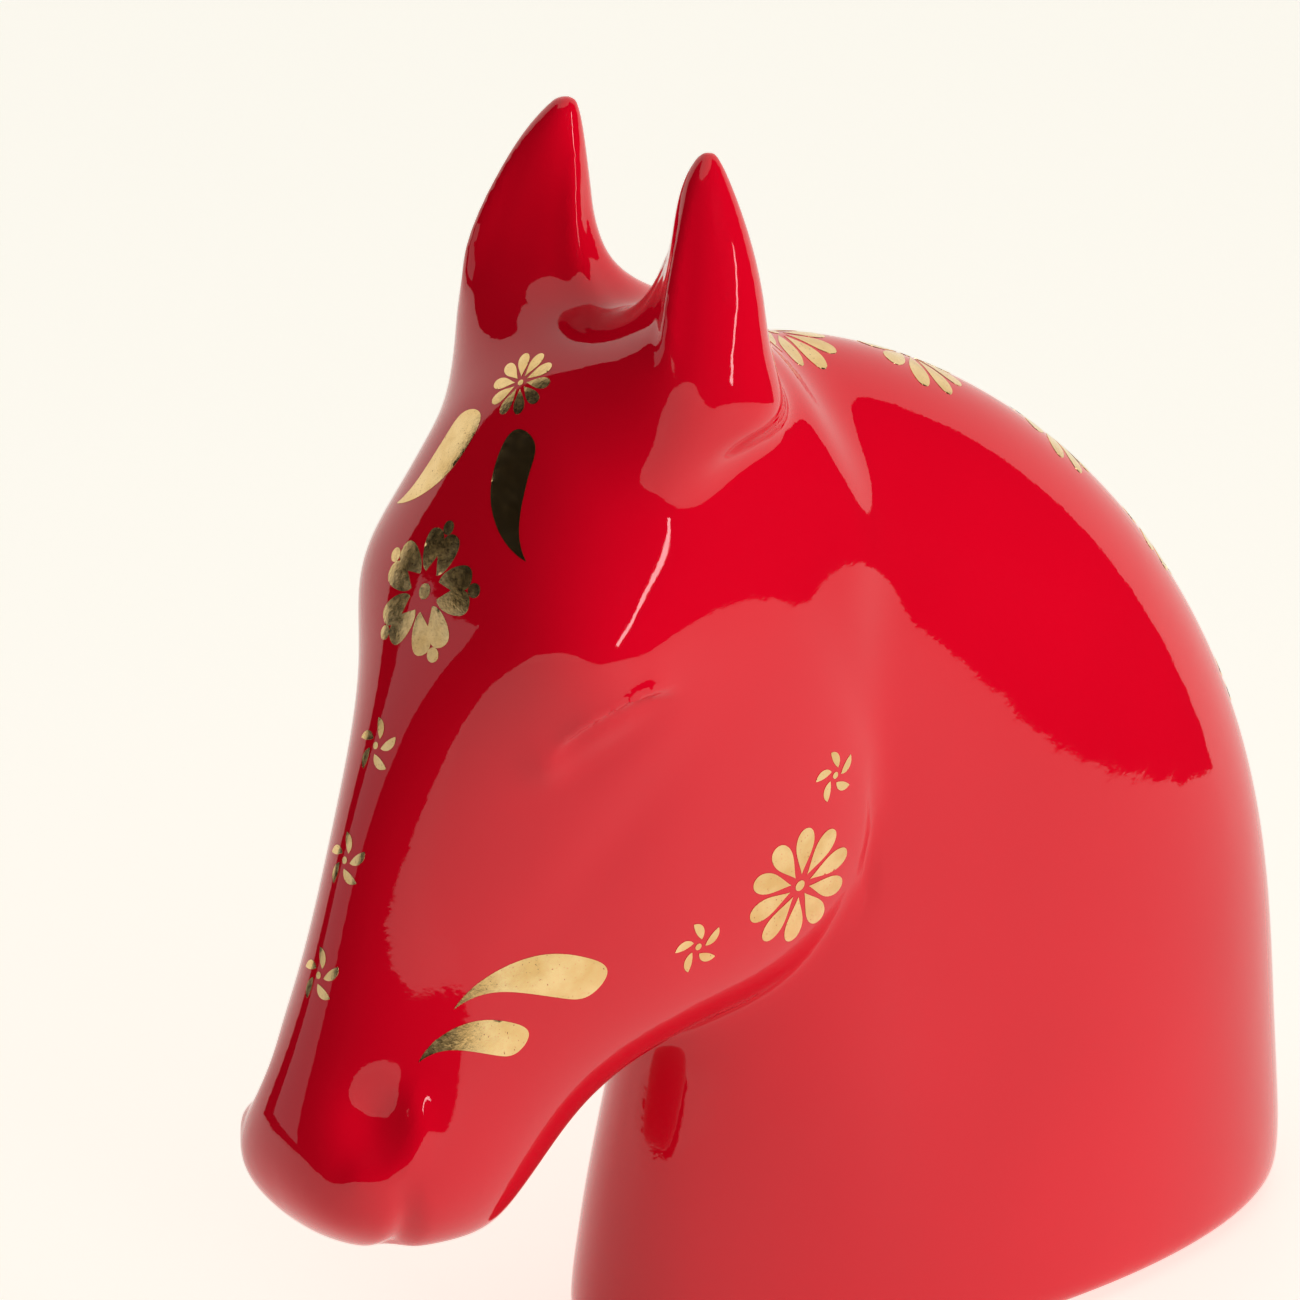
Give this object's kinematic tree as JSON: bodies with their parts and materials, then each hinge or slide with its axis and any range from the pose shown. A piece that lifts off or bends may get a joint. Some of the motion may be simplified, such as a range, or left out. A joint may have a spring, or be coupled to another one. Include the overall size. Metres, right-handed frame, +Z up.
{
  "type": "dala horse bust",
  "caption": "Glazed ceramic bust of a horse's head and arched neck on an oval foot, with folk flower and leaf transfers on the face, cheeks and crest.",
  "frame": {"origin": "on the table, under the middle of the oval foot", "axes": "+Z up; the horse faces -Y; its left side is +X; the shape is the same on both sides of X = 0"},
  "size_m": [0.0768, 0.2228, 0.2255],
  "materials": {
    "red_glaze": "glossy glaze",
    "gold_transfer": "polished gold lustre",
    "felt": "dense felt"
  },
  "bodies": {
    "root": {"brow_blossom": "gold_transfer", "crest_daisy_1": "gold_transfer", "crest_daisy_2": "gold_transfer", "crest_daisy_3": "gold_transfer", "crest_daisy_4": "gold_transfer", "crest_daisy_5": "gold_transfer", "felt_pad": "felt", "forehead_daisy": "gold_transfer", "head_casting": "red_glaze", "left_cheek_daisy": "gold_transfer", "left_cheek_star_lower": "gold_transfer", "left_cheek_star_upper": "gold_transfer", "left_ear": "red_glaze", "left_forehead_leaf": "gold_transfer", "left_jaw_leaf_long": "gold_transfer", "left_jaw_leaf_short": "gold_transfer", "neck_casting": "red_glaze", "nose_star_lower": "gold_transfer", "nose_star_middle": "gold_transfer", "nose_star_upper": "gold_transfer", "right_cheek_daisy": "gold_transfer", "right_cheek_star_lower": "gold_transfer", "right_cheek_star_upper": "gold_transfer", "right_ear": "red_glaze", "right_forehead_leaf": "gold_transfer", "right_jaw_leaf_long": "gold_transfer", "right_jaw_leaf_short": "gold_transfer"}
  },
  "joints": []
}
